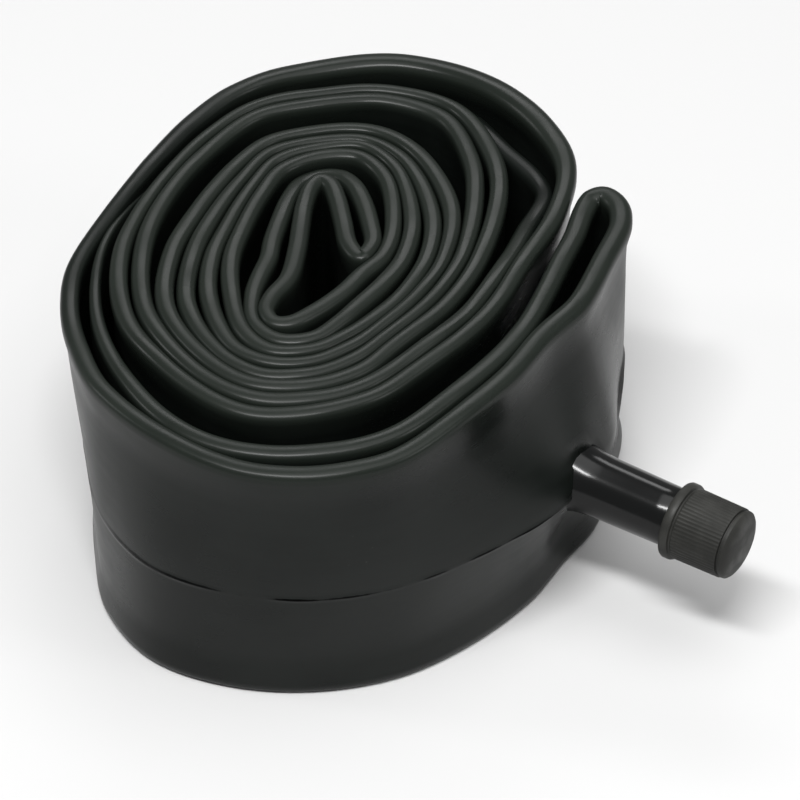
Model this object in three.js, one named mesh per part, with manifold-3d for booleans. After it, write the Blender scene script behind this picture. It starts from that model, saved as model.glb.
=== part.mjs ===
// Bicycle inner tube, pressed flat and rolled up for storage, standing on its edge.
// Millimetres, +Z up. The valve points along +X. The origin is on the surface that the roll
// stands on, below the middle of the whole object.
import * as THREE from 'three';
import { mergeVertices } from 'three/addons/utils/BufferGeometryUtils.js';
import Module from 'manifold-3d';

const wasm = await Module();
wasm.setup();

// ---- driving dimensions ----
const DEG = Math.PI / 180;
const FLAT_WIDTH = 39;             // width of the tube when it lies flat, so the roll's height
const WALL = 0.7;                  // butyl wall
const AIR_SLIT = 0.2;              // air left between the two walls of the flat tube
const LIP_BEVEL = 0.4;             // rounding of the fold at the top and bottom edge
const EDGE_WALL = 1.5;             // rubber between the air slit and each fold
const VALVE_HEIGHT = 17.5;         // valve axis above the standing surface
const VALVE_HEADING = -33;         // degrees, the valve's heading in the drawing of the coil
const COIL_MIDDLE = [-16.6, -0.35]; // the coil's middle in the part's own frame
const VALVE_SPOT = [32.6, -18.2];  // where the valve axis crosses the tube, from the coil's middle
const STATION_TURN = 13 * DEG;     // the ribbon gets a new station at least this often as it bends
const STATION_STEP = 5;            // and at least this often along a straight stretch
const FINE_STEPS = 6000;           // even steps of the route that the stations are picked from

const TUBE_HOLE = 2.2;             // radius of the air hole in the tube's wall
const FOOT_RADIUS = 8;             // rubber foot that is bonded to the tube round the hole
const FOOT_STEP = 6;               // where the foot's flat rim ends and its neck starts
const FOOT_RIM = 1.1;              // top of that rim, out from the tube
const JACKET_BORE = 3.3;
const STEM_REACH = 23.2;           // stem tip, from the outer face of the tube
const THREAD_START = 15.2;         // end of the rubber jacket
const THREAD_RADIUS = 3.85;        // Schrader stem thread, 7.7 mm over the crests
const JACKET_RADIUS = 4;
const STEM_RADIUS = 3;             // brass inside the jacket
const THREAD_ROOT = 3.5;           // where the thread starts and ends
const CAP_START = 15.5;
const CAP_END = 25.1;
const CAP_RADIUS = 4.8;
const SKIRT_RADIUS = 5.15;         // the cap's wider ring at its open end
const SPRING_TURNS = 6;
const SPRING_RADIUS = 0.95;
const WIRE_RADIUS = 0.16;
const RUN_FIT = 0.08;              // radial clearance of a running fit
const SEAT_GAP = 0.3;              // gap between bonded faces

// ---- the coil's route ----
// The loop is doubled and rolled up from its inner bend. Run A is the inner of the two runs and
// run B lies outside it. Each point of a run is [degrees round the coil's middle, radius].
const coreOut = [
  [6, -0.1], [4.4, 2.4], [3.6, 7], [2.8, 11.5], [1.8, 14.6], [0.6, 15.4], [-0.6, 14.1], [-1.5, 10.5],
  [-1.9, 6], [-2.3, 1], [-3.3, -4.5], [-5.4, -8.2], [-6.1, -10.9], [-5, -12.9], [-2.7, -13],
  [0.5, -10.6], [3.8, -7],
];
const runA = [
  [-30, 7], [0, 8.7], [30, 11.7], [60, 18.4], [75, 21.3], [90, 20.3], [105, 18.1], [120, 14.5],
  [150, 11], [180, 10.7], [210, 12.2], [240, 17.2], [255, 19.2], [270, 18.3], [285, 15.9],
  [300, 14.4], [330, 13.5], [360, 14.6], [390, 17.5], [420, 22.9], [435, 25], [450, 23.9],
  [465, 22.3], [480, 18.8], [510, 15.4], [540, 15.7], [570, 18.5], [600, 22.2], [615, 23.4],
  [630, 22.4], [645, 20.3], [660, 18.1], [690, 17.2], [720, 18.8], [750, 24], [765, 28.7],
  [780, 33.6], [795, 33.8], [810, 31.5], [825, 30.2], [840, 27], [870, 22.9], [900, 22.2],
  [930, 24], [960, 27], [975, 28.3], [990, 27.4], [1005, 25.7], [1020, 23.4], [1050, 22.4],
  [1080, 24.9], [1095, 28.4], [1108, 34], [1125, 35.3], [1140, 38], [1155, 37.9], [1170, 35.8],
  [1185, 34.2], [1200, 30.7], [1230, 26.8], [1260, 27.3], [1290, 30.2], [1320, 35.8],
  [1335, 37.4], [1350, 36.9], [1365, 35.6], [1380, 32.4], [1410, 29.8], [1440, 31.8],
];
const outerBend = [
  [33.4, 4.5], [34.6, 9], [35.8, 11.5], [37.4, 12], [39.1, 10], [39.8, 6], [39.2, 0],
];
const runB = [
  [1422.7, 38.7], [1410.8, 37.3], [1398.6, 37.6], [1380, 38.6], [1365, 40.2], [1350, 41],
  [1335, 41.2], [1320, 40.4], [1305, 37.2], [1290, 33.2], [1275, 30.9], [1260, 29.6],
  [1230, 28.6], [1200, 32.5], [1185, 36], [1170, 38.5], [1155, 40.9], [1140, 41.2], [1125, 39.7],
  [1110, 37], [1095, 32], [1080, 27.2], [1050, 24.6], [1020, 25.6], [1005, 28.2], [990, 30.1],
  [975, 30.9], [960, 29.2], [930, 26.8], [900, 25], [870, 24.9], [840, 28.9], [825, 32.2],
  [810, 33.7], [795, 35.9], [780, 36.1], [765, 32], [750, 27.7], [720, 21.2], [690, 19.1],
  [660, 20], [645, 22.7], [630, 24.8], [615, 25.9], [600, 24.5], [570, 21.4], [540, 18.5],
  [510, 18], [480, 21.2], [465, 24.3], [450, 25.7], [435, 26.9], [420, 25.3], [390, 20.3],
  [360, 16.8], [330, 15.4], [300, 16.3], [285, 18.1], [270, 20.3], [255, 21.3], [240, 20.2],
  [210, 15.4], [180, 13.2], [150, 13.1], [120, 16.7], [105, 20.4], [90, 22.1], [75, 23.2],
  [60, 20.7], [30, 14.5], [0, 11.5], [-30, 10.4], [-60, 11.4], [-75, 13.3], [-90, 15.9],
  [-105, 16.7], [-120, 14.9], [-135, 11], [-150, 8.2], [-180, 5.9], [-210, 6.4], [-240, 9.1],
];
const coreIn = [
  [-3.4, 12.4], [-1.8, 15.9], [0.6, 17.4], [3, 16.9], [4.8, 14.8], [6.1, 11.5], [7.1, 7], [7.5, 2.4],
];

function onCircle([angle, radius]) {
  return [radius * Math.cos(angle * DEG), radius * Math.sin(angle * DEG)];
}

function toFrame([x, y]) {
  const c = Math.cos(-VALVE_HEADING * DEG);
  const s = Math.sin(-VALVE_HEADING * DEG);
  return new THREE.Vector3(COIL_MIDDLE[0] + x * c - y * s, COIL_MIDDLE[1] + x * s + y * c, 0);
}

const route = new THREE.CatmullRomCurve3(
  [...coreOut, ...runA.map(onCircle), ...outerBend, ...runB.map(onCircle), ...coreIn].map(toFrame),
  true, 'centripetal');
route.arcLengthDivisions = 4000;

// Stations along the loop: close together where it bends, far apart where it is straight.
function stations() {
  const fine = route.getSpacedPoints(FINE_STEPS).slice(0, FINE_STEPS);
  const kept = [];
  for (let i = 0; i < FINE_STEPS; i++) {
    const ahead = fine[(i + 1) % FINE_STEPS].clone().sub(fine.at(i - 1)).normalize();
    const last = kept.at(-1);
    const turn = last ? last.ahead.angleTo(ahead) : Infinity;
    const walked = last ? last.at.distanceTo(fine[i]) : 0;
    if (turn > STATION_TURN || walked > STATION_STEP) kept.push({ at: fine[i], ahead });
  }
  return kept;
}

const ribbonStations = stations();

// A closed band of the given thickness along the whole loop, standing between two heights.
function band(thickness, bottom, top, bevel) {
  const side = (offset) => ribbonStations.map(({ at, ahead }) =>
    new THREE.Vector2(at.x - ahead.y * offset, at.y + ahead.x * offset));
  const shape = new THREE.Shape(side(thickness / 2 - bevel).reverse());
  shape.holes.push(new THREE.Path(side(bevel - thickness / 2)));
  const geometry = new THREE.ExtrudeGeometry(shape, {
    depth: top - bottom - 2 * bevel,
    bevelEnabled: bevel > 0,
    bevelSize: bevel,
    bevelThickness: bevel,
    bevelSegments: 1,
  });
  geometry.translate(0, 0, bottom + bevel);
  return geometry;
}

// ---- solids and cuts ----
function toSolid(geometry) {
  const bare = geometry.clone();
  bare.deleteAttribute('normal');
  bare.deleteAttribute('uv');
  const merged = mergeVertices(bare, 1e-4);
  const index = merged.index.array;
  const triangles = [];
  for (let i = 0; i < index.length; i += 3) {
    const [a, b, c] = index.slice(i, i + 3);
    if (a !== b && b !== c && c !== a) triangles.push(a, b, c);  // a lathe's pole has empty ones
  }
  return new wasm.Manifold(new wasm.Mesh({
    numProp: 3,
    vertProperties: new Float32Array(merged.attributes.position.array),
    triVerts: new Uint32Array(triangles),
  }));
}

function toGeometry(solid) {
  const mesh = solid.getMesh();
  const geometry = new THREE.BufferGeometry();
  geometry.setAttribute('position', new THREE.BufferAttribute(new Float32Array(mesh.vertProperties), 3));
  geometry.setIndex(new THREE.BufferAttribute(new Uint32Array(mesh.triVerts), 1));
  return geometry;
}

// A turned piece on the valve axis. Each point of the outline is [distance out, radius]. The
// outline may be drawn either way round: a lathe needs it anticlockwise to face outwards.
function turned(outline, sides = 24) {
  const profile = outline.map(([out, r]) => new THREE.Vector2(r, out));
  if (THREE.ShapeUtils.isClockWise(profile)) profile.reverse();
  return new THREE.LatheGeometry(profile, sides).rotateZ(-Math.PI / 2);
}

// A ring or sleeve: the outline is closed back to its first point.
function turnedRing(outline, sides = 24) {
  return turned([...outline, outline[0]], sides);
}

function piece(name, geometry, color, roughness, metalness) {
  const mesh = new THREE.Mesh(geometry, new THREE.MeshStandardMaterial({ color, roughness, metalness }));
  mesh.name = name;
  return mesh;
}

// Colour, roughness and metalness of each material.
const butyl = [0x1d2020, 0.55, 0];
const coverRubber = [0x121313, 0.35, 0];
const brass = [0xb08d4a, 0.3, 0.9];
const steel = [0x9a9c9e, 0.3, 0.9];
const blackPlastic = [0x191a1a, 0.6, 0];
const sealRubber = [0x2a2120, 0.7, 0];

const object = new THREE.Group();

// Everything on the valve is placed from here: the outer face of the tube, on the valve axis.
const valve = new THREE.Group();
const spot = toFrame(VALVE_SPOT);
const FLAT_THICKNESS = 2 * WALL + AIR_SLIT;
valve.position.set(spot.x + FLAT_THICKNESS / 2, spot.y, VALVE_HEIGHT);
object.add(valve);

// ---- the tube ----
function makeTube() {
  const outside = toSolid(band(FLAT_THICKNESS, 0, FLAT_WIDTH, LIP_BEVEL));
  const slit = toSolid(band(AIR_SLIT, EDGE_WALL, FLAT_WIDTH - EDGE_WALL, 0));
  const inner = -FLAT_THICKNESS / 2;  // in the air slit, so only the outer wall is cut
  const outer = FLAT_THICKNESS;
  const hole = turned([[inner, 0], [inner, TUBE_HOLE], [outer, TUBE_HOLE], [outer, 0]], 16);
  hole.translate(valve.position.x, valve.position.y, valve.position.z);
  return toGeometry(outside.subtract(slit).subtract(toSolid(hole)));
}

object.add(piece('tube', makeTube(), ...butyl));

// ---- valve stem ----
// Rubber jacket and foot, one moulding that is bonded to the tube over the hole.
valve.add(piece('stem_jacket', turnedRing([
  [SEAT_GAP, JACKET_BORE], [SEAT_GAP, FOOT_RADIUS], [FOOT_RIM, FOOT_RADIUS], [FOOT_RIM, FOOT_STEP],
  [2.2, 4.9], [4, 4.2], [6, JACKET_RADIUS],
  [THREAD_START, JACKET_RADIUS], [THREAD_START, JACKET_BORE],
]), ...coverRubber));

// Brass stem: tail inside the jacket, threaded head outside it, bored for the valve core.
const STEM_TAIL = 0.6;
const CHAMBER_END = STEM_REACH - 6.2;      // the plug's chamber, counted in from the tip
const SEAT_END = STEM_REACH - 9;           // the cone that the core's packing ring seals on
const CHAMBER_RADIUS = 2.65;
const TAIL_BORE = 2.15;
valve.add(piece('stem_tube', turnedRing([
  [STEM_TAIL, TAIL_BORE], [STEM_TAIL, STEM_RADIUS], [THREAD_START + SEAT_GAP, STEM_RADIUS],
  [THREAD_START + SEAT_GAP, THREAD_ROOT], [THREAD_START + 0.9, THREAD_RADIUS],
  [STEM_REACH - 0.6, THREAD_RADIUS], [STEM_REACH, 3.3],
  [STEM_REACH, CHAMBER_RADIUS], [CHAMBER_END, CHAMBER_RADIUS], [SEAT_END, TAIL_BORE],
]), ...brass));

// ---- valve core ----
const tip = (depth) => STEM_REACH - depth;  // a place on the axis, counted in from the stem's tip
const PIN_RADIUS = 0.55;
const BARREL_RADIUS = 1.8;
const BARREL_BORE = 1.3;
const BARREL_END = 17;
const PLUG_HEAD = 1.9;                      // the plug's head, before its thread
const PLUG_RADIUS = CHAMBER_RADIUS - RUN_FIT;
const PLUG_BORE = 1.1;

// Threaded plug with two flats for the key. Its skirt is crimped round the barrel's collar.
function makePlug() {
  const body = toSolid(turnedRing([
    [tip(0.5), PLUG_BORE], [tip(0.5), PLUG_HEAD], [tip(2), PLUG_HEAD], [tip(2), PLUG_RADIUS],
    [tip(6), PLUG_RADIUS], [tip(6), 1.9], [tip(5.4), 1.9], [tip(5.2), 2.2], [tip(4.4), 2.2],
    [tip(4.4), PLUG_BORE],
  ]));
  const cutter = new THREE.BoxGeometry(1.9, 6, 2);
  const acrossFlats = 2.9;
  const above = cutter.clone().translate(tip(1.25), 0, (acrossFlats + 2) / 2);
  const below = cutter.clone().translate(tip(1.25), 0, -(acrossFlats + 2) / 2);
  return toGeometry(body.subtract(toSolid(above)).subtract(toSolid(below)));
}

valve.add(piece('core_plug', makePlug(), ...brass));

valve.add(piece('core_barrel', turnedRing([
  [tip(4.6), BARREL_BORE], [tip(BARREL_END - 2), BARREL_BORE], [tip(BARREL_END - 2), 0.8],
  [tip(BARREL_END - 1.4), 0.8], [tip(BARREL_END - 1.2), BARREL_BORE], [tip(BARREL_END), BARREL_BORE],
  [tip(BARREL_END), 1.6], [tip(BARREL_END - 1), BARREL_RADIUS], [tip(5.3), BARREL_RADIUS],
  [tip(5.1), 2.1], [tip(4.6), 2.1],
]), ...brass));

valve.add(piece('core_packing', turnedRing([
  [tip(9.2), 1.9], [tip(6.4), 1.9], [tip(6.4), 2.5], [tip(9.2), 2.04],
]), ...sealRubber));

// The pin runs the whole length of the core, with a head to press and a collar for the spring.
const COLLAR = 8.6;
const PIN_END = 19.6;
const SEAL_BORE = 0.65;
const CUP_BACK = 18.3;
valve.add(piece('core_pin', turned([
  [tip(PIN_END), 0], [tip(PIN_END), PIN_RADIUS], [tip(COLLAR + 0.6), PIN_RADIUS],
  [tip(COLLAR + 0.5), 1.1], [tip(COLLAR), 1.1], [tip(COLLAR - 0.1), PIN_RADIUS],
  [tip(1), PIN_RADIUS], [tip(0.9), 0.9], [tip(0.4), 0.9], [tip(0.25), 0.6], [tip(0.25), 0],
], 16), ...steel));

valve.add(piece('core_cup', turnedRing([
  [tip(19), PIN_RADIUS + RUN_FIT], [tip(CUP_BACK), PIN_RADIUS + RUN_FIT], [tip(CUP_BACK), 1.7],
  [tip(17.3), 1.7], [tip(17.3), 1.95], [tip(18.8), 1.95], [tip(19), 1.7],
]), ...brass));

valve.add(piece('core_seal', turnedRing([
  [tip(CUP_BACK - 0.1), SEAL_BORE], [tip(BARREL_END + 0.05), SEAL_BORE],
  [tip(BARREL_END + 0.05), 1.6], [tip(CUP_BACK - 0.1), 1.6],
]), ...sealRubber));

// Spring of round wire between the pin's collar and the barrel's ledge.
class Helix extends THREE.Curve {
  getPoint(t) {
    const turn = 2 * Math.PI * SPRING_TURNS * t;
    const out = THREE.MathUtils.lerp(tip(COLLAR + 0.9), tip(BARREL_END - 2.25), t);
    return new THREE.Vector3(out, SPRING_RADIUS * Math.cos(turn), SPRING_RADIUS * Math.sin(turn));
  }
}

function makeSpring() {
  const wire = new THREE.Shape();
  wire.absarc(0, 0, WIRE_RADIUS, 0, 2 * Math.PI);
  return new THREE.ExtrudeGeometry(wire, {
    steps: SPRING_TURNS * 12, curveSegments: 3, bevelEnabled: false, extrudePath: new Helix(),
  });
}

valve.add(piece('core_spring', makeSpring(), ...steel));

// ---- dust cap ----
const CAP_ROOF = 24;
const CAP_BORE = THREAD_RADIUS + RUN_FIT;
const DISC_RADIUS = 3.4;
const DISC_GAP = 0.1;                       // the disc's clearance to the stem and to the cap's roof
valve.add(piece('cap_seal', turned([
  [STEM_REACH + DISC_GAP, 0], [STEM_REACH + DISC_GAP, DISC_RADIUS],
  [CAP_ROOF - DISC_GAP, DISC_RADIUS], [CAP_ROOF - DISC_GAP, 0],
]), ...sealRubber));

valve.add(piece('dust_cap', turned([
  [CAP_ROOF, 0], [CAP_ROOF, CAP_BORE], [CAP_START, CAP_BORE], [CAP_START, SKIRT_RADIUS - 0.15],
  [CAP_START + 0.4, SKIRT_RADIUS], [CAP_START + 1.1, SKIRT_RADIUS],
  [CAP_START + 1.3, CAP_RADIUS], [CAP_END - 1.3, CAP_RADIUS - 0.1],
  [CAP_END - 0.35, 4.1], [CAP_END, 3], [CAP_END, 0],
], 32), ...blackPlastic));

export default object;
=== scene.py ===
# Rolled bicycle inner tube with its valve.
import math

import bpy
import numpy as np
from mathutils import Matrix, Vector, noise


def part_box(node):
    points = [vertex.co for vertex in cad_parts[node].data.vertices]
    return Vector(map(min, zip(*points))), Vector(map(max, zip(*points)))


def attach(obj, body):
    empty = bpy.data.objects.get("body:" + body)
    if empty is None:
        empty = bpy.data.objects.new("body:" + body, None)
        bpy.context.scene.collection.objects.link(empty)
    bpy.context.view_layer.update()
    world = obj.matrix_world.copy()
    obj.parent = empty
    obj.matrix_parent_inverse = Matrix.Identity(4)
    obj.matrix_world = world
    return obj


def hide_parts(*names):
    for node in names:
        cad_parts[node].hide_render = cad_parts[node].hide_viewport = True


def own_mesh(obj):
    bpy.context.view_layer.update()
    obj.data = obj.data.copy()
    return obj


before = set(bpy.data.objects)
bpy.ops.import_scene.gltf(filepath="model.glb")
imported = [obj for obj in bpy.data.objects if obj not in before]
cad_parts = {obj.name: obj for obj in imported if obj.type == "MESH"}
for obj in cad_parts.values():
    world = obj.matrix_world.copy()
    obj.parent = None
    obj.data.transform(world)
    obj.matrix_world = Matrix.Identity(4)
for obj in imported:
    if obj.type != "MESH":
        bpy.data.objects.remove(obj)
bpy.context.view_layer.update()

mm = 0.001
slack = 0.01  # mm, for telling places apart


# Scene set-up

cameraSetup = {
    "target": (-15.54, 18.22, 0),  # mm, the floor point in the middle of the view
    "azimuth": 33,                 # degrees, turned from looking along +Y
    "elevation": 42,
    "distance": 600,               # mm
    "lens": 197,
    "clipStart": 0.01,             # m
}

studio = {
    "worldColor": (1, 1, 1),
    "worldStrength": 0.27,
    "floorColor": (0.55, 0.55, 0.55),
    "floorSize": 6,      # m
    "floorPatches": 3,   # scale of the floor's faint patches of tone
    "floorDim": 0.985,   # tone of the darkest patch
    "aimHeight": 0.02,   # m above the floor, where the softboxes point
}


def makeCamera():
    s = cameraSetup
    az, el = math.radians(s["azimuth"]), math.radians(s["elevation"])
    target = Vector(s["target"]) * mm
    back = Vector((math.sin(az) * math.cos(el), -math.cos(az) * math.cos(el), math.sin(el)))
    data = bpy.data.cameras.new("camera")
    data.lens = s["lens"]
    data.clip_start = s["clipStart"]
    camera = bpy.data.objects.new("camera", data)
    camera.location = target + back * s["distance"] * mm
    camera.rotation_euler = (-back).to_track_quat("-Z", "Y").to_euler()
    bpy.context.scene.collection.objects.link(camera)
    bpy.context.scene.camera = camera


# Softboxes: heading from the camera and height in degrees, distance and size in m, power in W.
softboxes = {
    "overheadBox": {
        "heading": 60, "height": 80, "distance": 0.9, "size": (0.9, 0.8), "power": 5.2},
    "stripBox": {
        "heading": -20, "height": 66, "distance": 0.9, "size": (0.5, 0.09), "power": 8.5},
    "leftBox": {
        "heading": -100, "height": 24, "distance": 0.8, "size": (0.12, 0.3), "power": 0.8},
    "rightBox": {
        "heading": 70, "height": 30, "distance": 0.8, "size": (0.2, 0.3), "power": 0.8},
    "backBox": {
        "heading": 178, "height": 40, "distance": 0.8, "size": (0.4, 0.15), "power": 1},
}


def makeSoftbox(name, s):
    az = math.radians(cameraSetup["azimuth"] + s["heading"])
    up = math.radians(s["height"])
    away = Vector((math.sin(az) * math.cos(up), -math.cos(az) * math.cos(up), math.sin(up)))
    data = bpy.data.lights.new(name, "AREA")
    data.shape = "RECTANGLE"
    data.size, data.size_y = s["size"]
    data.energy = s["power"]
    light = bpy.data.objects.new(name, data)
    light.location = Vector((0, 0, studio["aimHeight"])) + away * s["distance"]
    light.rotation_euler = (-away).to_track_quat("-Z", "Y").to_euler()
    bpy.context.scene.collection.objects.link(light)


def makeStudio():
    world = bpy.data.worlds.new("studio")
    bpy.context.scene.world = world
    world.use_nodes = True
    background = world.node_tree.nodes["Background"]
    background.inputs["Color"].default_value = (*studio["worldColor"], 1)
    background.inputs["Strength"].default_value = studio["worldStrength"]
    for name, s in softboxes.items():
        makeSoftbox(name, s)
    bpy.context.scene.view_settings.view_transform = "Standard"


# Shader maths: one socket per Shade, and the usual operators between them.

class Shade:
    def __init__(self, tree, socket):
        self.tree, self.socket = tree, socket

    def node(self, kind, settings=None, inputs=None, out=0):
        made = self.tree.nodes.new(kind)
        for key, value in (settings or {}).items():
            setattr(made, key, value)
        for key, value in (inputs or {}).items():
            if isinstance(value, Shade):
                self.tree.links.new(value.socket, made.inputs[key])
            elif value is not None:
                made.inputs[key].default_value = value
        return Shade(self.tree, made.outputs[out])

    def math(self, operation, *values):
        return self.node("ShaderNodeMath", {"operation": operation}, dict(enumerate(values)))

    def __add__(self, other):
        return self.math("ADD", self, other)

    def __sub__(self, other):
        return self.math("SUBTRACT", self, other)

    def __mul__(self, other):
        return self.math("MULTIPLY", self, other)

    def __radd__(self, other):
        return self.math("ADD", other, self)

    def __rsub__(self, other):
        return self.math("SUBTRACT", other, self)

    def __rmul__(self, other):
        return self.math("MULTIPLY", other, self)

    def step(self, low, high):
        return self.node("ShaderNodeMapRange", {"interpolation_type": "SMOOTHSTEP"},
                         {"Value": self, "From Min": low, "From Max": high})

    def mix(self, first, second):
        return self.node("ShaderNodeMix", {"data_type": "RGBA"},
                         {0: self, 6: first, 7: second}, out=2)

    def noise(self, scale, detail=3, roughness=0.55, stretch=None):
        place = self
        if stretch:
            place = self.node("ShaderNodeMapping", {}, {"Vector": self, "Scale": stretch})
        return self.node("ShaderNodeTexNoise", {}, {"Vector": place, "Scale": scale,
                                                    "Detail": detail, "Roughness": roughness})

    def bump(self, strength, distance, normal=None):
        return self.node("ShaderNodeBump", {}, {"Height": self, "Strength": strength,
                                                "Distance": distance, "Normal": normal})


def newMaterial(name, constants):
    material = bpy.data.materials.new(name)
    material.use_nodes = True
    tree = material.node_tree
    shader = tree.nodes["Principled BSDF"]
    for key, value in constants.items():
        shader.inputs[key].default_value = value
    place = tree.nodes.new("ShaderNodeTexCoord").outputs["Object"]
    return material, Shade(tree, place), shader


def feed(shade, shader, socket):
    shade.tree.links.new(shade.socket, shader.inputs[socket])


# Butyl: black rubber with a thin grey bloom of talc, faint calender streaks and a few specks.
# In all the looks a scale is that of a noise, larger is finer, and edges are where it sets in.
butylLook = {
    "clean": (0.0036, 0.0047, 0.0040),
    "bloom": (0.0070, 0.0087, 0.0076),
    "speck": (0.05, 0.05, 0.045),
    "fold": (0.0118, 0.0150, 0.0120),  # painted light: paler colour on the tops of the folds, where the light falls on them
    # painted shadow: near-black colour for the shade under the moulding line's rib
    "seam": (0.0012, 0.0014, 0.0014),
    "roughness": (0.24, 0.40),
    "cloudScale": 45,
    "streakScale": 90,
    "streakShare": 0.2,
    "bloomEdges": (0.36, 0.68),
    "speckScale": 520,
    "speckEdges": (0.05, 0.12),
    "patchScale": 38,       # the specks come in patches
    "patchEdges": (0.66, 0.72),
    "raggedScale": 650,     # breaks up the edge of the moulding line
    "seamEdges": (0.12, 0.5),
    "grainScale": 900,
    "grainDepth": 0.00002,  # m
    "scuffScale": 230,
    "scuffDepth": 0.00006,
}


def makeButyl():
    s = butylLook
    material, place, shader = newMaterial("butyl", {"IOR": 1.5, "Specular IOR Level": 0.17})
    clouds = place.noise(s["cloudScale"], 4)
    streaks = place.noise(s["streakScale"], 3, stretch=(1, 1, 8))
    share = s["streakShare"]
    bloom = (clouds * (1 - share) + streaks * share).step(*s["bloomEdges"])
    color = bloom.mix((*s["clean"], 1), (*s["bloom"], 1))
    dots = place.node("ShaderNodeTexVoronoi", {}, {"Vector": place, "Scale": s["speckScale"]})
    patches = place.noise(s["patchScale"], 2).step(*s["patchEdges"])
    speck = (1 - dots.step(*s["speckEdges"])) * patches
    color = speck.mix(color, (*s["speck"], 1))
    # painted light: the tops of the folds are made paler, where the light falls on them
    fold = place.node("ShaderNodeAttribute", {"attribute_name": "fold"}, out="Fac")
    color = (fold * (0.5 + 0.5 * streaks)).mix(color, (*s["fold"], 1))
    ragged = place.noise(s["raggedScale"], 2)
    # painted shadow along the moulding line, its edge broken up
    paintedSeamShadow = place.node("ShaderNodeAttribute", {"attribute_name": "seam"}, out="Fac")
    paintedSeamShadow = (paintedSeamShadow + 0.5 * ragged - 0.25).step(*s["seamEdges"])
    feed(paintedSeamShadow.mix(color, (*s["seam"], 1)), shader, "Base Color")
    feed(paintedSeamShadow, shader, "Metallic")  # a near-black metal takes the last gloss off the painted shadow along the moulding line
    low, high = s["roughness"]
    feed(low + (high - low) * bloom, shader, "Roughness")
    grain = place.noise(s["grainScale"], 3).bump(0.3, s["grainDepth"])
    scuffs = place.noise(s["scuffScale"], 3, stretch=(1, 1, 2))
    feed(scuffs.bump(0.15, s["scuffDepth"], grain), shader, "Normal")
    return material


# Cover rubber: smooth, oily black with light handling marks.
coverLook = {
    "base": (0.0035, 0.0038, 0.0038),
    "dust": (0.008, 0.008, 0.008),
    "roughness": (0.16, 0.28),
    "smearScale": 160,
    "smearEdges": (0.45, 0.75),
    "coat": 0.12,           # where it isn't smeared
    "markScale": 420,
    "markDepth": 0.00004,   # m
}


def makeCover():
    s = coverLook
    material, place, shader = newMaterial(
        "coverRubber", {"IOR": 1.5, "Specular IOR Level": 0.2, "Coat Roughness": 0.2})
    smears = place.noise(s["smearScale"], 4, stretch=(0.4, 1, 1)).step(*s["smearEdges"])
    feed(smears.mix((*s["base"], 1), (*s["dust"], 1)), shader, "Base Color")
    low, high = s["roughness"]
    feed(low + (high - low) * smears, shader, "Roughness")
    feed(s["coat"] * (1 - smears), shader, "Coat Weight")
    feed(place.noise(s["markScale"], 2).bump(0.12, s["markDepth"]), shader, "Normal")
    return material


# Cap plastic: fine spark-eroded texture, worn smoother and paler where it is handled.
capLook = {
    "base": (0.017, 0.0172, 0.0155),
    "wornAndLit": (0.027, 0.027, 0.0245),
    "roughness": (0.40, 0.58),
    "wearScale": 240,
    "wearEdges": (0.4, 0.7),
    "textureScale": 2600,
    "textureDepth": 0.00002,  # m
}


def makePlastic():
    s = capLook
    material, place, shader = newMaterial("blackPlastic", {"IOR": 1.48, "Specular IOR Level": 0.2})
    wear = place.noise(s["wearScale"], 4).step(*s["wearEdges"])
    feed(wear.mix((*s["base"], 1), (*s["wornAndLit"], 1)), shader, "Base Color")
    low, high = s["roughness"]
    feed(high - (high - low) * wear, shader, "Roughness")
    feed(place.noise(s["textureScale"], 2).bump(0.35, s["textureDepth"]), shader, "Normal")
    return material


# Metals: rings of turning marks round the valve's axis, and a little tarnish.
metalLooks = {
    "brass": {"base": (0.60, 0.42, 0.15), "tarnish": (0.30, 0.19, 0.07), "roughness": (0.2, 0.42)},
    "steel": {"base": (0.55, 0.55, 0.56), "tarnish": (0.32, 0.31, 0.30), "roughness": (0.22, 0.4)},
}
metalMarks = {
    "spotScale": 700,
    "spotEdges": (0.45, 0.75),
    "ringScale": 300,
    "ringDepth": 0.00002,  # m
}


def makeMetal(name):
    s = metalLooks[name]
    material, place, shader = newMaterial(name, {"Metallic": 1})
    spots = place.noise(metalMarks["spotScale"], 4).step(*metalMarks["spotEdges"])
    feed(spots.mix((*s["base"], 1), (*s["tarnish"], 1)), shader, "Base Color")
    low, high = s["roughness"]
    feed(low + (high - low) * spots, shader, "Roughness")
    rings = place.noise(metalMarks["ringScale"], 2, stretch=(14, 0.1, 0.1))
    feed(rings.bump(0.1, metalMarks["ringDepth"]), shader, "Normal")
    return material


# Seal rubber: brown-black, dull.
sealLook = {
    "base": (0.020, 0.015, 0.013),
    "dust": (0.055, 0.045, 0.040),
    "roughness": 0.72,
    "dustScale": 900,
    "dustEdges": (0.5, 0.75),
    "grainScale": 1500,
    "grainDepth": 0.00003,  # m
}


def makeSeal():
    s = sealLook
    material, place, shader = newMaterial("sealRubber", {"Roughness": s["roughness"]})
    dust = place.noise(s["dustScale"], 4).step(*s["dustEdges"])
    feed(dust.mix((*s["base"], 1), (*s["dust"], 1)), shader, "Base Color")
    feed(place.noise(s["grainScale"], 2).bump(0.3, s["grainDepth"]), shader, "Normal")
    return material


# The tube

coil = {
    "middle": (-16.6, -0.35),  # mm, in the model's own frame
    "heading": -33,            # degrees, the valve's heading in the drawing of the coil
    "valveSpot": (32.6, -18.2),
}

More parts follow.
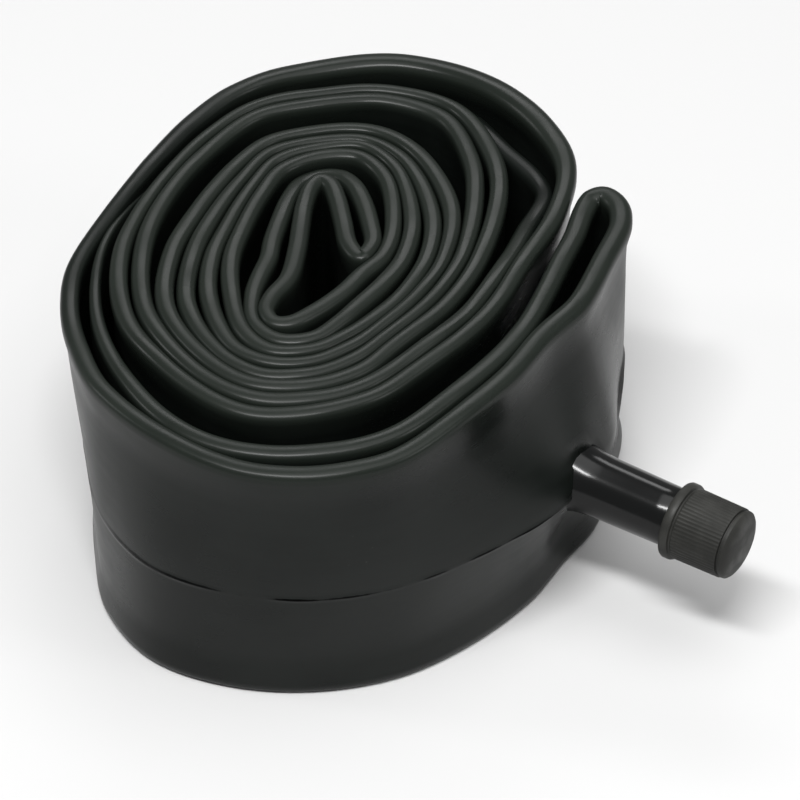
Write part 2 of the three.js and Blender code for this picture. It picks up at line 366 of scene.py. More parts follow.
# The loop's route from the inner bend: run A lies inside, run B outside. Bends are x, y in mm from
# the coil's middle, and the runs' points are degrees round that middle and radius.
coreOut = [
    (6, -0.1), (4.4, 2.4), (3.6, 7), (2.8, 11.5), (1.8, 14.6), (0.6, 15.4), (-0.6, 14.1),
    (-1.5, 10.5), (-1.9, 6), (-2.3, 1), (-3.3, -4.5), (-5.4, -8.2), (-6.1, -10.9),
    (-5, -12.9), (-2.7, -13), (0.5, -10.6), (3.8, -7),
]
runA = [
    (-30, 7), (0, 8.7), (30, 11.7), (60, 18.4), (75, 21.3), (90, 20.3), (105, 18.1), (120, 14.5),
    (150, 11), (180, 10.7), (210, 12.2), (240, 17.2), (255, 19.2), (270, 18.3), (285, 15.9),
    (300, 14.4), (330, 13.5), (360, 14.6), (390, 17.5), (420, 22.9), (435, 25), (450, 23.9),
    (465, 22.3), (480, 18.8), (510, 15.4), (540, 15.7), (570, 18.5), (600, 22.2), (615, 23.4),
    (630, 22.4), (645, 20.3), (660, 18.1), (690, 17.2), (720, 18.8), (750, 24), (765, 28.7),
    (780, 33.6), (795, 33.8), (810, 31.5), (825, 30.2), (840, 27), (870, 22.9), (900, 22.2),
    (930, 24), (960, 27), (975, 28.3), (990, 27.4), (1005, 25.7), (1020, 23.4), (1050, 22.4),
    (1080, 24.9), (1095, 28.4), (1108, 34), (1125, 35.3), (1140, 38), (1155, 37.9), (1170, 35.8),
    (1185, 34.2), (1200, 30.7), (1230, 26.8), (1260, 27.3), (1290, 30.2), (1320, 35.8),
    (1335, 37.4), (1350, 36.9), (1365, 35.6), (1380, 32.4), (1410, 29.8), (1440, 31.8),
]
outerBend = [
    (33.4, 4.5), (34.6, 9), (35.8, 11.5), (37.4, 12), (39.1, 10), (39.8, 6), (39.2, 0),
]
runB = [
    (1422.7, 38.7), (1410.8, 37.3), (1398.6, 37.6), (1380, 38.6), (1365, 40.2), (1350, 41),
    (1335, 41.2), (1320, 40.4), (1305, 37.2), (1290, 33.2), (1275, 30.9), (1260, 29.6),
    (1230, 28.6), (1200, 32.5), (1185, 36), (1170, 38.5), (1155, 40.9), (1140, 41.2), (1125, 39.7),
    (1110, 37), (1095, 32), (1080, 27.2), (1050, 24.6), (1020, 25.6), (1005, 28.2), (990, 30.1),
    (975, 30.9), (960, 29.2), (930, 26.8), (900, 25), (870, 24.9), (840, 28.9), (825, 32.2),
    (810, 33.7), (795, 35.9), (780, 36.1), (765, 32), (750, 27.7), (720, 21.2), (690, 19.1),
    (660, 20), (645, 22.7), (630, 24.8), (615, 25.9), (600, 24.5), (570, 21.4), (540, 18.5),
    (510, 18), (480, 21.2), (465, 24.3), (450, 25.7), (435, 26.9), (420, 25.3), (390, 20.3),
    (360, 16.8), (330, 15.4), (300, 16.3), (285, 18.1), (270, 20.3), (255, 21.3), (240, 20.2),
    (210, 15.4), (180, 13.2), (150, 13.1), (120, 16.7), (105, 20.4), (90, 22.1), (75, 23.2),
    (60, 20.7), (30, 14.5), (0, 11.5), (-30, 10.4), (-60, 11.4), (-75, 13.3), (-90, 15.9),
    (-105, 16.7), (-120, 14.9), (-135, 11), (-150, 8.2), (-180, 5.9), (-210, 6.4), (-240, 9.1),
]
coreIn = [
    (-3.4, 12.4), (-1.8, 15.9), (0.6, 17.4), (3, 16.9), (4.8, 14.8), (6.1, 11.5), (7.1, 7),
    (7.5, 2.4),
]

tubeShape = {
    "stations": 1500,        # rings along the loop
    "faceRows": 15,          # rows of points up each flat side
    "faceMargin": 1.6,       # mm that these rows keep from the folds
    "lipRows": 8,            # rows of points round each fold
    "halfWall": 0.82,        # mm, half the thickness of the two pressed walls
    "lipHalf": 1.3,          # mm, half the width of the fold's bead where it has room
    "lipGap": 0.02,          # mm, left between the beads of two folds
    "lipSquare": 0.72,       # 1 is a round bead, less is squarer
    "lipEdge": 1,            # mm from the edge, where the bead is full
    "lipRise": 4,            # mm, how far down the side from there it fades out
    "lipSoften": 8,          # rings that the bead's width is smoothed over
    "lipWander": 0.4,        # mm, how far the folds wander up and down
    "lipFine": 0.4,          # share of the short wander beside the long one
    "footWander": 0.15,      # share of it that the foot has
    "floorGap": 0.02,        # mm that the foot keeps from the floor
    "liftFrom": 0.5,         # share of the height where the top fold's lift starts
    "leanFrom": 0.42,        # the same for its lean
    "tuckFrom": 0.35,        # and, from the top down, for the foot's tuck
    "footTo": 0.4,           # share of the height where the foot's wander ends
    "seamRib": 0.15,         # mm, the moulding line along the middle of each side
    "seamHalf": 0.32,        # mm, half its width
    "seamRows": (-2.4, -1, 0, 1, 2.4),  # rows of points beside it, in half widths
    "seamClear": 3.4,        # half widths that other rows keep from it
    "dash": (0.55, 1.1),     # its usual thickness, and how much that changes
    "dashLimits": (0.1, 1.3),
    "seamDark": (0.3, 0.8),  # how dark the painted shadow at its edge is at least, and by its thickness
    "flankDark": 0.5,        # the same painted shadow for the rows beside it
    "wave": 0.3,             # mm, slow waves of the outer side
    "waveSpan": (-45, 75),   # mm from the valve, the middle and reach of the waved stretch
    "waveSlant": 0.5,        # mm along the tube that a wave shifts with each mm of height
    "waveEdge": 0.3,         # share of the height where the waves fade at the folds
    "tent": 3.1,             # mm, how far the valve's foot pulls the side out
    "tentReach": (18, 10),   # mm along the tube, on the roll's side and on the bend's
    "tentHeight": (18, 12),  # mm above and below its ridge
    "tentFade": 1.8,         # more makes the ridge flatter with a sharper end
    "tentHollow": (1.15, 1.7),  # more makes the slopes above and below it hollower
    "well": 1.9,             # mm, depth of the hollow round the air hole, under the jacket
    "wellRadius": (2.2, 3.5),
    "pucker": 0.2,           # mm, puckers that run out from the valve's root
    "puckers": 5,
    "puckerTurn": 0.8,       # radians
    "puckerRing": (6.5, 4),  # mm from the air hole, their middle and reach
    "wornAndLit": (2.5, 0.5),      # mm below the fold's edge, where the painted light starts and is full
    "weld": 0.000002,        # m
}

# Slow noises along the loop: seed, and length in mm.
wanders = {
    "lip": (3.1, 17),
    "lipFine": (7.7, 6),
    "foot": (5.2, 20),
    "dash": (9.3, 4),
    "wave": (2.4, 14),
}

# Stretches of the moulding line: middle and reach in mm from the valve, positive to the bend, and
# how much prouder the line is there, and how much darker and broader its painted shadow is.
seamStretches = {
    "bend": {"middle": 17, "reach": 5, "proud": 3, "dark": 3, "flank": 1},
    "leftSide": {"middle": -74, "reach": 13, "proud": 0.4, "dark": 1, "flank": 1},
    "front": {"middle": -40, "reach": 18, "proud": -0.1, "dark": -0.35, "flank": 0},
}

# Places on the loop are given as a run and degrees on it, or as a bend and its point's number.
topLean = [  # mm that the outer turn's top fold leans in over its foot
    ("A", 1200, 0), ("A", 1230, 0.3), ("A", 1260, 0.6), ("A", 1290, 0.3), ("A", 1320, 0),
    ("bend", 2, 0.3), ("bend", 3, 0.3), ("bend", 4, -0.6), ("bend", 5, -0.5), ("bend", 6, 1.8),
    ("B", 1422.7, 4.2), ("B", 1410.8, 4.7), ("B", 1398.6, 4.4), ("B", 1380, 3), ("B", 1365, 0.5),
    ("B", 1350, -0.4), ("B", 1335, 0.6), ("B", 1320, 2.6), ("B", 1305, 0.8), ("B", 1290, -1),
    ("B", 1275, -1.5), ("B", 1260, -0.9),
    ("B", 1245, 0.3), ("B", 1230, 1), ("B", 1215, 0.7), ("B", 1200, 0.4), ("B", 1185, -0.1),
    ("B", 1170, -0.6), ("B", 1140, -0.7), ("B", 1110, -0.8), ("B", 1095, -0.2), ("B", 1080, 0),
]

footTuck = [  # mm that the foot is tucked in under the side
    ("A", 1215, 0), ("A", 1260, 0.8), ("A", 1290, 0), ("bend", 5, 0), ("bend", 6, 1),
    ("B", 1422.7, 1.8), ("B", 1410.8, 1.8), ("B", 1398.6, 1.5), ("B", 1380, 1.3), ("B", 1365, 1.4),
    ("B", 1350, 1.2), ("B", 1335, 0.9), ("B", 1320, 0.3), ("B", 1305, 0.2), ("B", 1290, 0.9),
    ("B", 1275, 1.5), ("B", 1260, 1.6), ("B", 1230, 0.5), ("B", 1200, 0),
]

lipLift = [  # mm that the top fold stands above or below the flat width
    ("bend", 0, 0), ("core", 0, 0), ("A", 1080, 0), ("A", 1110, -2.6), ("A", 1215, -3),
    ("A", 1245, -1), ("A", 1275, -1.2), ("A", 1320, 0), ("bend", 3, 0.8), ("B", 1410.8, 0.3),
    ("B", 1380, 0), ("B", 1305, 0), ("B", 1275, -1.1), ("B", 1250, -0.5), ("B", 1230, 0),
    ("B", 1185, 0.5), ("B", 1140, 0.9), ("B", 1110, 0.5), ("B", 1080, 0), ("coreEnd", 0, 0),
    ("coreEnd", 1.3, -1.6), ("coreEnd", 2.4, -0.9), ("coreEnd", 4, 0),
]

beadFullness = [  # mm that a fold's bead is fuller or leaner than its room would give
    ("A", 1200, 0), ("A", 1240, -0.5), ("A", 1275, -0.45), ("A", 1320, 0), ("bend", 0, 0.15),
    ("bend", 6, 0.3), ("B", 1422.7, 0.3), ("B", 1365, 0.1), ("B", 1240, 0), ("B", 1200, 0.5),
    ("B", 1125, 0.5), ("B", 1095, 0),
]

foldShade = [  # how much of the painted light a fold loses, as painted shade where it lies dark
    ("B", 1290, 0), ("B", 1265, 0.6), ("B", 1200, 0.9), ("B", 1180, 0), ("A", 1240, 0),
    ("A", 1270, 0.4), ("A", 1300, 0),
]


def polar(point):
    angle, radius = math.radians(point[0]), point[1]
    return (radius * math.cos(angle), radius * math.sin(angle))


def toFrame(points):
    turn = math.radians(-coil["heading"])
    spin = np.array([[math.cos(turn), math.sin(turn)], [-math.sin(turn), math.cos(turn)]])
    return np.array(points) @ spin + np.array(coil["middle"])


curveSteps = 60    # steps of the smooth curve between two of its points
closest = 1e-4     # least spacing of its points that is reckoned with
crowding = 5       # how much closer the rings lie where the ribbon bends
sharpest = 0.8     # bend, in radians to the mm, past which they lie no closer
sameLayer = 4.5    # mm along the loop that still count as one layer
facing = 0.6       # least share of a distance that goes straight across the ribbon
farthest = 9       # mm, room given where no layer is beside


def smoothLoop(points):
    # centripetal curve through the points, closed
    n = len(points)
    curve = []
    for i in range(n):
        p = [points[(i + k) % n] for k in (-1, 0, 1, 2)]
        d = [max(np.linalg.norm(p[k + 1] - p[k]) ** 0.5, closest) for k in range(3)]
        t1 = (p[1] - p[0]) / d[0] - (p[2] - p[0]) / (d[0] + d[1]) + (p[2] - p[1]) / d[1]
        t2 = (p[2] - p[1]) / d[1] - (p[3] - p[1]) / (d[1] + d[2]) + (p[3] - p[2]) / d[2]
        t1, t2 = t1 * d[1], t2 * d[1]
        for k in range(curveSteps):
            t = k / curveSteps
            curve.append((2 * t**3 - 3 * t**2 + 1) * p[1] + (t**3 - 2 * t**2 + t) * t1
                         + (-2 * t**3 + 3 * t**2) * p[2] + (t**3 - t**2) * t2)
    return np.array(curve)


def layStations(curve, count):
    # rings crowd together where the ribbon bends
    ahead = np.roll(curve, -1, 0) - curve
    length = np.linalg.norm(ahead, axis=1)
    heading = np.unwrap(np.arctan2(ahead[:, 1], ahead[:, 0]))
    bend = np.abs(np.roll(heading, -1) - heading)[:-1] / length[:-1]
    bend = np.append(bend, bend[-1])
    weight = length * (1 + crowding * np.minimum(bend, sharpest))
    along = np.concatenate([[0], np.cumsum(weight)])
    closed = np.vstack([curve, curve[:1]])
    wanted = np.arange(count) / count * along[-1]
    numbers = np.arange(len(closed))
    place = np.interp(wanted, along, numbers)
    spots = np.column_stack([np.interp(place, numbers, closed[:, k]) for k in (0, 1)])
    return spots, place % len(curve)


def smoothStep(value, low, high):
    t = np.clip((value - low) / (high - low), 0, 1)
    return t * t * (3 - 2 * t)


def roomBeside(spots, side, walked, total):
    # distance from each ring to the next layer on one side
    gap = spots[None] - spots[:, None]
    far = np.linalg.norm(gap, axis=2)
    apart = np.abs(walked[:, None] - walked[None])
    apart = np.minimum(apart, total - apart)
    across = (gap * side[:, None]).sum(2)
    far[(apart < sameLayer) | (across < facing * far)] = farthest
    return far.min(1)


def ringSpread(values, reach):
    # running mean round the loop
    kernel = np.hanning(2 * reach + 1)
    kernel /= kernel.sum()
    wrapped = np.concatenate([values[-reach:], values, values[:reach]])
    return np.convolve(wrapped, kernel, "valid")


def wander(walked, name):
    seed, length = wanders[name]
    return np.array([noise.noise(Vector((w / length, seed, 0.5))) for w in walked])


def loopPlace(run, at):
    starts = {"core": 0, "A": len(coreOut)}
    starts["bend"] = starts["A"] + len(runA)
    starts["B"] = starts["bend"] + len(outerBend)
    starts["coreEnd"] = starts["B"] + len(runB)
    if run not in ("A", "B"):
        return starts[run] + at
    degrees = [p[0] for p in (runA if run == "A" else runB)]
    numbers = np.arange(len(degrees))
    if run == "B":
        degrees, numbers = degrees[::-1], numbers[::-1]
    return starts[run] + np.interp(at, degrees, numbers)


def alongLoop(control, table, soften=12):
    placed = sorted((loopPlace(run, at), value) for run, at, value in table)
    places, values = zip(*placed)
    values = np.interp(control, places, values, left=0, right=0)
    return ringSpread(values, soften)


def tubeSection(height, seam):
    # rows of one ring: up the outer side, over the top fold, down the inner side, under the foot
    s = tubeShape
    seamRows = [seam + k * s["seamHalf"] for k in s["seamRows"]]
    plain = np.linspace(s["faceMargin"], height - s["faceMargin"], s["faceRows"])
    plain = [h for h in plain if abs(h - seam) > s["seamClear"] * s["seamHalf"]]
    heights = np.array(sorted(plain + seamRows))
    turns = np.linspace(0, math.pi, s["lipRows"] + 2)[1:-1]
    flat, lip = np.zeros(len(heights)), np.zeros(len(turns))
    across = np.sign(np.cos(turns)) * np.abs(np.cos(turns)) ** s["lipSquare"]
    along = np.sin(turns) ** s["lipSquare"]
    side = np.concatenate([flat + 1, across, flat - 1, -across])
    level = np.concatenate([heights, lip + height, heights[::-1], lip])
    rise = np.concatenate([flat, along, flat, -along])
    return side, level, rise


def makeTube(material):
    s = tubeShape
    low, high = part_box("tube")
    height = (high.z - low.z) / mm
    count = s["stations"]
    route = coreOut + [polar(p) for p in runA] + outerBend + [polar(p) for p in runB] + coreIn
    curve = smoothLoop(toFrame(route))
    spots, place = layStations(curve, count)
    control = place / curveSteps
    ahead = np.roll(spots, -1, 0) - np.roll(spots, 1, 0)
    ahead /= np.linalg.norm(ahead, axis=1)[:, None]
    left = np.column_stack([-ahead[:, 1], ahead[:, 0]])
    steps = np.linalg.norm(np.roll(spots, -1, 0) - spots, axis=1)
    walked = np.concatenate([[0], np.cumsum(steps)[:-1]])
    total = steps.sum()

    valveLow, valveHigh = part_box("stem_tube")
    seam = (valveLow.z + valveHigh.z) / 2 / mm
    side, level, rise = tubeSection(height, seam)

    # the beads of neighbouring folds share the room between them
    beads = []
    for way in (left, -left):
        room = roomBeside(spots, way, walked, total) / 2 - s["lipGap"]
        beads.append(ringSpread(np.minimum(room, s["lipHalf"]), s["lipSoften"]))
    bead = np.where(side[None] > 0, beads[0][:, None], beads[1][:, None])
    bead = bead + alongLoop(control, beadFullness)[:, None]

    roam = wander(walked, "lip") + s["lipFine"] * wander(walked, "lipFine")
    lift = alongLoop(control, lipLift) + s["lipWander"] * roam
    foot = s["footWander"] * s["lipWander"] * (1 + wander(walked, "foot"))
    upward = np.clip(level / height, 0, 1)[None]
    z = level[None] + lift[:, None] * smoothStep(upward, s["liftFrom"], 1)
    z = z + foot[:, None] * smoothStep(-upward, -s["footTo"], 0)
    z = np.where(rise[None] > 0, z - bead * (1 - rise[None]), z)
    z = np.where(rise[None] < 0, z + bead * (1 + rise[None]), z)

    edge, fade = s["lipEdge"], s["lipRise"]
    nearLip = np.maximum(smoothStep(level, height - edge - fade, height - edge),
                         smoothStep(-level, -edge - fade, -edge))[None]
    out = side[None] * (s["halfWall"] + (bead - s["halfWall"]) * nearLip)
    out -= alongLoop(control, topLean)[:, None] * smoothStep(upward, s["leanFrom"], 1)
    out -= alongLoop(control, footTuck)[:, None] * smoothStep(1 - upward, s["tuckFrom"], 1)

    # the valve's foot pulls both walls out into a tent with its ridge on the moulding line
    valveSpot = toFrame([coil["valveSpot"]])[0]
    valveRing = int(np.argmin(np.linalg.norm(spots - valveSpot, axis=1)))
    # mm along the tube, positive to the bend
    fromValve = (walked[valveRing] - walked + total / 2) % total - total / 2
    reach = np.where(fromValve < 0, *s["tentReach"])
    away = (np.abs(fromValve) / reach)[:, None]
    above, below = s["tentHeight"]
    slope = np.where(z > seam, 1 - (z - seam) / above, 1 - (seam - z) / below)
    slope = np.clip(slope, 0, 1) ** np.where(z > seam, *s["tentHollow"])
    out += s["tent"] * np.exp(-away ** s["tentFade"]) * slope

    fromAxis = np.hypot(fromValve[:, None], z - seam)
    out -= s["well"] * (1 - smoothStep(fromAxis, *s["wellRadius"]))
    roundAxis = np.arctan2(z - seam, fromValve[:, None])
    middle, reach = s["puckerRing"]
    ripple = np.sin(s["puckers"] * roundAxis + s["puckerTurn"])
    out += s["pucker"] * np.exp(-((fromAxis - middle) / reach) ** 2) * ripple

    # moulding line, thick in places and almost gone in others
    onSeam = ((level == seam) & (rise == 0))[None] * 1.0
    usual, change = s["dash"]
    dash = np.clip(usual + change * wander(walked, "dash"), *s["dashLimits"])
    least, byDash = s["seamDark"]
    proud, dark, flank = 0, least + byDash * dash, 0
    for stretch in seamStretches.values():
        here = np.exp(-((fromValve - stretch["middle"]) / stretch["reach"]) ** 2)
        proud = proud + stretch["proud"] * here
        dark = dark + stretch["dark"] * here
        flank = flank + stretch["flank"] * here
    out += onSeam * np.sign(side)[None] * s["seamRib"] * (dash + proud)[:, None]

    middle, reach = s["waveSpan"]
    outerTurn = np.exp(-((fromValve - middle) / reach) ** 4)[:, None]
    slow = np.array([wander(walked + s["waveSlant"] * h, "wave") for h in level]).T
    out += (s["wave"] * outerTurn * slow * smoothStep(upward, 0, s["waveEdge"])
            * smoothStep(1 - upward, 0, s["waveEdge"]))

    position = np.zeros((count, len(side), 3))
    position[..., :2] = spots[:, None] + left[:, None] * out[..., None]
    position[..., 2] = np.maximum(z, s["floorGap"])

    bpy.ops.object.select_all(action="DESELECT")
    bpy.ops.mesh.primitive_grid_add(x_subdivisions=count, y_subdivisions=len(side), size=1)
    tube = bpy.context.object
    tube.name = "rolledTube"
    sheet = np.zeros(len(tube.data.vertices) * 3)
    tube.data.vertices.foreach_get("co", sheet)
    sheet = sheet.reshape(-1, 3)
    ring = np.rint((sheet[:, 0] + 0.5) * count).astype(int) % count
    row = np.rint((sheet[:, 1] + 0.5) * len(side)).astype(int) % len(side)

    # every point of the sheet goes to its ring and row in the flat, rolled tube
    tube.data.vertices.foreach_set("co", (position[ring, row] * mm).ravel())
    # painted light on the folds' tops, fading in below the edge and taken off where a fold lies in
    # shade
    start, full = s["wornAndLit"]
    wornAndLit = smoothStep(z, height - start, height - full)
    wornAndLit = wornAndLit * (1 - alongLoop(control, foldShade))[:, None]
    beside = (np.abs(np.abs(level - seam) - s["seamHalf"]) < slack)[None] * (rise == 0)[None]
    # painted shadow along the moulding line and the rows beside it
    seamShadowStrength = onSeam * np.clip(dark, 0, 1)[:, None]
    seamShadowStrength = seamShadowStrength + beside * s["flankDark"] * np.clip(flank, 0, 1)[:, None]
    for name, strength in (("seam", seamShadowStrength), ("fold", wornAndLit)):
        marks = tube.data.attributes.new(name, "FLOAT", "POINT")
        marks.data.foreach_set("value", strength[ring, row])
    tube.data.update()
    bpy.ops.object.mode_set(mode="EDIT")
    bpy.ops.mesh.select_all(action="SELECT")
    bpy.ops.mesh.remove_doubles(threshold=s["weld"])
    bpy.ops.mesh.normals_make_consistent(inside=False)
    bpy.ops.object.mode_set(mode="OBJECT")
    bpy.ops.object.shade_smooth()
    tube.data.materials.clear()
    tube.data.materials.append(material)
    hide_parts("tube")
    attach(tube, "rolled_tube")
    print("tube: rings", count, "by", len(side), "loop", round(total), "mm")


# Valve pieces, turned on the valve's axis

stemLow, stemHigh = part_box("stem_tube")
jacketLow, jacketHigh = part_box("stem_jacket")
capLow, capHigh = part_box("dust_cap")
axisY, axisZ = (stemLow.y + stemHigh.y) / 2, (stemLow.z + stemHigh.z) / 2


def outlineFrom(x, radius, steps):
    # each step goes along the axis and outwards from one place
    return [(x + along, radius + out) for along, out in steps]


def turnPiece(name, outline, sides):
    # outline points are distance along the axis and radius, in mm, from the first ring onwards
    bpy.ops.object.select_all(action="DESELECT")
    start = outline[0]
    bpy.ops.mesh.primitive_circle_add(
        vertices=sides, radius=start[1] * mm, fill_type="NOTHING",
        location=(start[0] * mm, axisY, axisZ), rotation=(0, math.pi / 2, 0))
    made = bpy.context.object
    made.name = name
    bpy.ops.object.transform_apply(location=True, rotation=True, scale=True)
    bpy.ops.object.mode_set(mode="EDIT")
    bpy.ops.mesh.select_all(action="SELECT")
    for before, after in zip(outline, outline[1:]):
        bpy.ops.mesh.extrude_edges_move(
            TRANSFORM_OT_translate={"value": ((after[0] - before[0]) * mm, 0, 0)})
        grow = after[1] / before[1]
        bpy.ops.transform.resize(value=(1, grow, grow),
                                 center_override=(after[0] * mm, axisY, axisZ))
    return made


def closeWall():
    # joins the last ring of a hollow piece to its first
    bpy.ops.mesh.select_all(action="DESELECT")
    bpy.ops.mesh.select_non_manifold(extend=False)
    bpy.ops.mesh.bridge_edge_loops()


def closePole():
    # fills the ring that is still selected with a fan
    bpy.ops.mesh.edge_face_add()
    bpy.ops.mesh.poke()


weldWithin = 0.000001  # m


def finishPiece(made, material, angle):
    bpy.ops.mesh.select_all(action="SELECT")
    bpy.ops.mesh.remove_doubles(threshold=weldWithin)
    bpy.ops.mesh.normals_make_consistent(inside=False)
    bpy.ops.object.mode_set(mode="OBJECT")
    bpy.ops.object.shade_smooth_by_angle(angle=math.radians(angle))
    made.data.materials.clear()
    made.data.materials.append(material)


# Outlines go in steps of mm along the axis and outwards: from the root, from the neck's radius
# and from the outer end.
jacketShape = {
    "sides": 72,
    "extra": 0.2,    # mm that it covers more of the stem
    "root": 4.35,    # mm, radius where it leaves the tube
    "rootSteps": [(0, 0.7), (0.8, 0.35), (1.6, 0.1), (2.6, -0.08)],
    "neck": 4.1,
    "neckSteps": [(3.6, 0.08), (4.8, 0), (9, -0.06)],
    "end": 3.95,
    "endSteps": [(-2, 0.03), (-0.25, 0), (-0.07, -0.08), (0, -0.25)],
    "bore": 3.3,
}


def makeJacket(material):
    s = jacketShape
    x0, x1 = jacketLow.x / mm, jacketHigh.x / mm + s["extra"]
    outline = ([(x0, s["bore"])] + outlineFrom(x0, s["root"], s["rootSteps"])
               + outlineFrom(x0, s["neck"], s["neckSteps"])
               + outlineFrom(x1, s["end"], s["endSteps"]) + [(x1, s["bore"])])
    jacket = turnPiece("stemJacket", outline, s["sides"])
    closeWall()
    finishPiece(jacket, material, 50)
    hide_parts("stem_jacket")
    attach(jacket, "rolled_tube")
    print("jacket: length", round(x1 - x0, 1), "mm")


stemShape = {
    "sides": 64,
    "tailRadius": 3,      # mm, inside the jacket
    "tailBore": 2.15,
    "shoulder": 14.9,     # mm from the tail's end to where the bare brass starts
    "crest": 3.85,
    "root": 3.5,
    "pitch": 0.79375,     # 32 threads to the inch
    "ringsPerPitch": 9,
    "runIn": 0.6,         # mm, the slope at each end of the thread
    "groove": 1.3,        # more makes the thread's grooves narrower
    "tip": 3.3,
    "tipChamfer": 0.3,
    "chamber": 2.65,      # radius of the bore round the core's plug
    "chamberDepth": 6.2,
    "seatDepth": 9,       # mm from the tip to the end of the core's seat
}


def makeStem(material):
    s = stemShape
    x0, x1 = stemLow.x / mm, stemHigh.x / mm
    start, end = x0 + s["shoulder"], x1 - s["runIn"]
    count = round((end - start) / s["pitch"] * s["ringsPerPitch"])
    outline = [(x0, s["tailBore"]), (x0, s["tailRadius"]), (start, s["tailRadius"])]
    for x in np.linspace(start, end, count):
        slope = min((x - start) / s["runIn"], 1)
        outline.append((float(x), s["root"] + (s["crest"] - s["root"]) * slope))
    outline += [(x1 - s["tipChamfer"], (s["crest"] + s["tip"]) / 2), (x1, s["tip"]),
                (x1, s["chamber"]), (x1 - s["chamberDepth"], s["chamber"]),
                (x1 - s["seatDepth"], s["tailBore"])]
    stem = turnPiece("threadedStem", outline, s["sides"])
    closeWall()
    bpy.ops.object.mode_set(mode="OBJECT")
    # the thread is cut as one helix through the rings
    for v in stem.data.vertices:
        x, y, z = v.co.x / mm, v.co.y - axisY, v.co.z - axisZ
        radius = math.hypot(y, z) / mm
        if x > start - slack and radius > s["root"] - slack:
            turn = x / s["pitch"] - math.atan2(z, y) / math.tau
            depth = (0.5 + 0.5 * math.cos(math.tau * turn)) ** s["groove"]
            cut = s["crest"] - (s["crest"] - s["root"]) * depth
            shrink = min(cut / radius, 1)
            v.co.y, v.co.z = axisY + y * shrink, axisZ + z * shrink
    bpy.ops.object.mode_set(mode="EDIT")
    finishPiece(stem, material, 50)
    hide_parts("stem_tube")
    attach(stem, "rolled_tube")
    print("stem: thread turns", round((end - start) / s["pitch"], 1))


def makeSpring(material):
    spring = bpy.data.objects.new("coreSpring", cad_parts["core_spring"].data.copy())
    bpy.context.scene.collection.objects.link(spring)
    bpy.ops.object.select_all(action="DESELECT")
    spring.select_set(True)
    bpy.context.view_layer.objects.active = spring
    bpy.ops.object.mode_set(mode="EDIT")
    finishPiece(spring, material, 60)
    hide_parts("core_spring")
    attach(spring, "rolled_tube")
    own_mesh(spring)


# Outlines again go in steps along the axis and outwards: from the open end, from both ends of the
# grip, and from the closed end with the dome's middle as radii.
capShape = {
    "ribs": 58,         # fine ribs round the grip
    "columnsPerRib": 4,
    "ribDepth": 0.06,   # mm
    "skirt": 5.15,      # mm, radius of the ring at the open end
    "skirtSteps": [(0, -0.3), (0.1, -0.1), (0.3, 0), (1.05, 0), (1.25, -0.1)],
    "grip": 4.8,
    "gripEnds": (1.75, 1.5),  # mm from the cap's ends
    "neckSteps": [(1.35, -0.1), (1.5, -0.18)],
    "gripSteps": [(-0.1, -0.12), (0, 0)],
    "grooveSteps": [(0, -0.08), (0.08, -0.42), (0.3, -0.48), (0.42, -0.2), (0.7, -0.24)],
    "domeSteps": [(-0.55, -0.5), (-0.32, -0.95), (-0.17, -1.55), (-0.07, -2.3)],
    "middleSteps": [(-0.02, 1.7), (0, 0.9), (0, 0.3)],
    "bore": 3.93,
    "boreChamfer": (0.3, 0.2),
    "roofGap": 0.1,     # mm over the seal
    "ribSkin": 0.2,     # mm below the grip's radius, down to which the ribs are cut
}


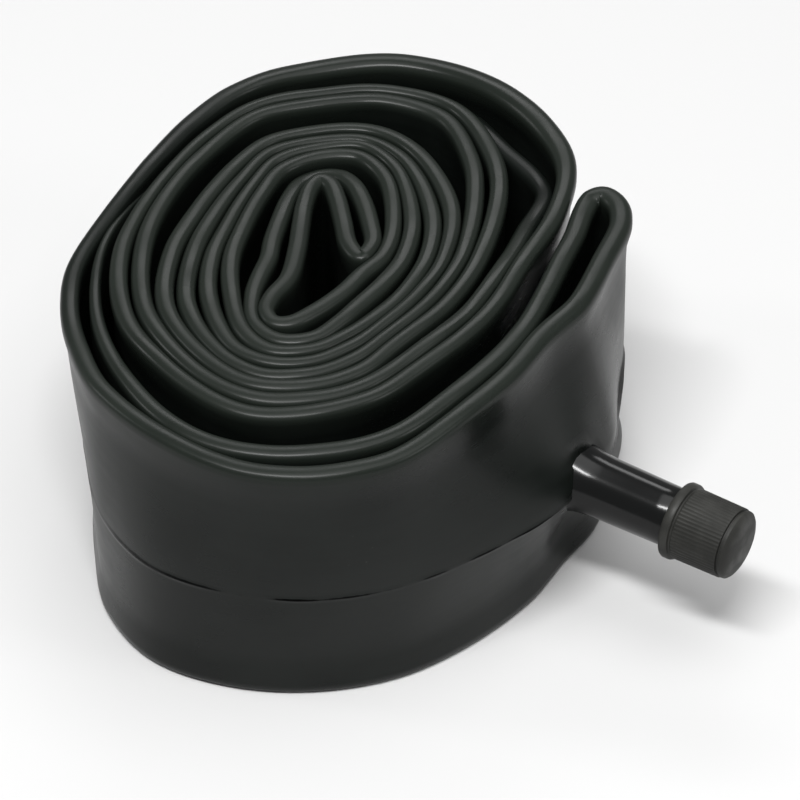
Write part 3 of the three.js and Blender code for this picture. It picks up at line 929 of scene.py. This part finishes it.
def makeCap(material):
    s = capShape
    x0, x1 = capLow.x / mm, capHigh.x / mm
    g = s["grip"]
    gripStart, gripEnd = x0 + s["gripEnds"][0], x1 - s["gripEnds"][1]
    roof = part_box("cap_seal")[1].x / mm + s["roofGap"]
    inwards, wider = s["boreChamfer"]
    outline = [(roof, s["bore"]), (x0 + inwards, s["bore"]), (x0, s["bore"] + wider)]
    outline += outlineFrom(x0, s["skirt"], s["skirtSteps"]) + outlineFrom(x0, g, s["neckSteps"])
    outline += outlineFrom(gripStart, g, s["gripSteps"]) + outlineFrom(gripEnd, g, s["grooveSteps"])
    outline += outlineFrom(x1, g, s["domeSteps"]) + outlineFrom(x1, 0, s["middleSteps"])
    columns = s["columnsPerRib"] * s["ribs"]
    cap = turnPiece("knurledCap", outline, columns)
    closePole()
    bpy.ops.mesh.select_all(action="DESELECT")
    bpy.ops.mesh.select_non_manifold(extend=False)
    closePole()
    bpy.ops.object.mode_set(mode="OBJECT")
    # every second pair of columns on the grip is pressed in, and the bore's roof as much all round
    press = 1 - s["ribDepth"] / g
    for v in cap.data.vertices:
        x, y, z = v.co.x / mm, v.co.y - axisY, v.co.z - axisZ
        radius = math.hypot(y, z)
        onGrip = gripStart - slack < x < gripEnd + slack and radius > (g - s["ribSkin"]) * mm
        onRoof = abs(x - roof) < slack and radius < (s["bore"] + slack) * mm
        column = round(math.atan2(z, y) / math.tau * columns) % s["columnsPerRib"]
        if onRoof or onGrip and column < 2:
            v.co.y, v.co.z = axisY + y * press, axisZ + z * press
    bpy.ops.object.mode_set(mode="EDIT")
    finishPiece(cap, material, 35)
    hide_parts("dust_cap")
    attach(cap, "cap")
    print("cap:", s["ribs"], "ribs")


# Floor

def makeFloor():
    bpy.ops.object.select_all(action="DESELECT")
    bpy.ops.mesh.primitive_plane_add(size=studio["floorSize"], location=(0, 0, 0))
    floor = bpy.context.object
    floor.name = "floor"
    material, place, shader = newMaterial(
        "paleFloor", {"Roughness": 0.9, "Specular IOR Level": 0.1})
    tint = place.noise(studio["floorPatches"], 2).step(0.2, 0.8)
    color = studio["floorColor"]
    dim = [c * studio["floorDim"] for c in color]
    feed(tint.mix((*color, 1), (*dim, 1)), shader, "Base Color")
    floor.data.materials.append(material)


makeCamera()
makeStudio()
makeFloor()
print("studio ready")

makeTube(makeButyl())
makeJacket(makeCover())
makeCap(makePlastic())

metals = {"brass": makeMetal("brass"), "steel": makeMetal("steel")}
makeStem(metals["brass"])
makeSpring(metals["steel"])
seal = makeSeal()
finishes = {
    "core_plug": metals["brass"], "core_barrel": metals["brass"], "core_cup": metals["brass"],
    "core_pin": metals["steel"],
    "core_packing": seal, "core_seal": seal, "cap_seal": seal,
}
for node, finish in finishes.items():
    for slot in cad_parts[node].material_slots:
        slot.material = finish
print("valve inside finished:", len(finishes), "pieces")
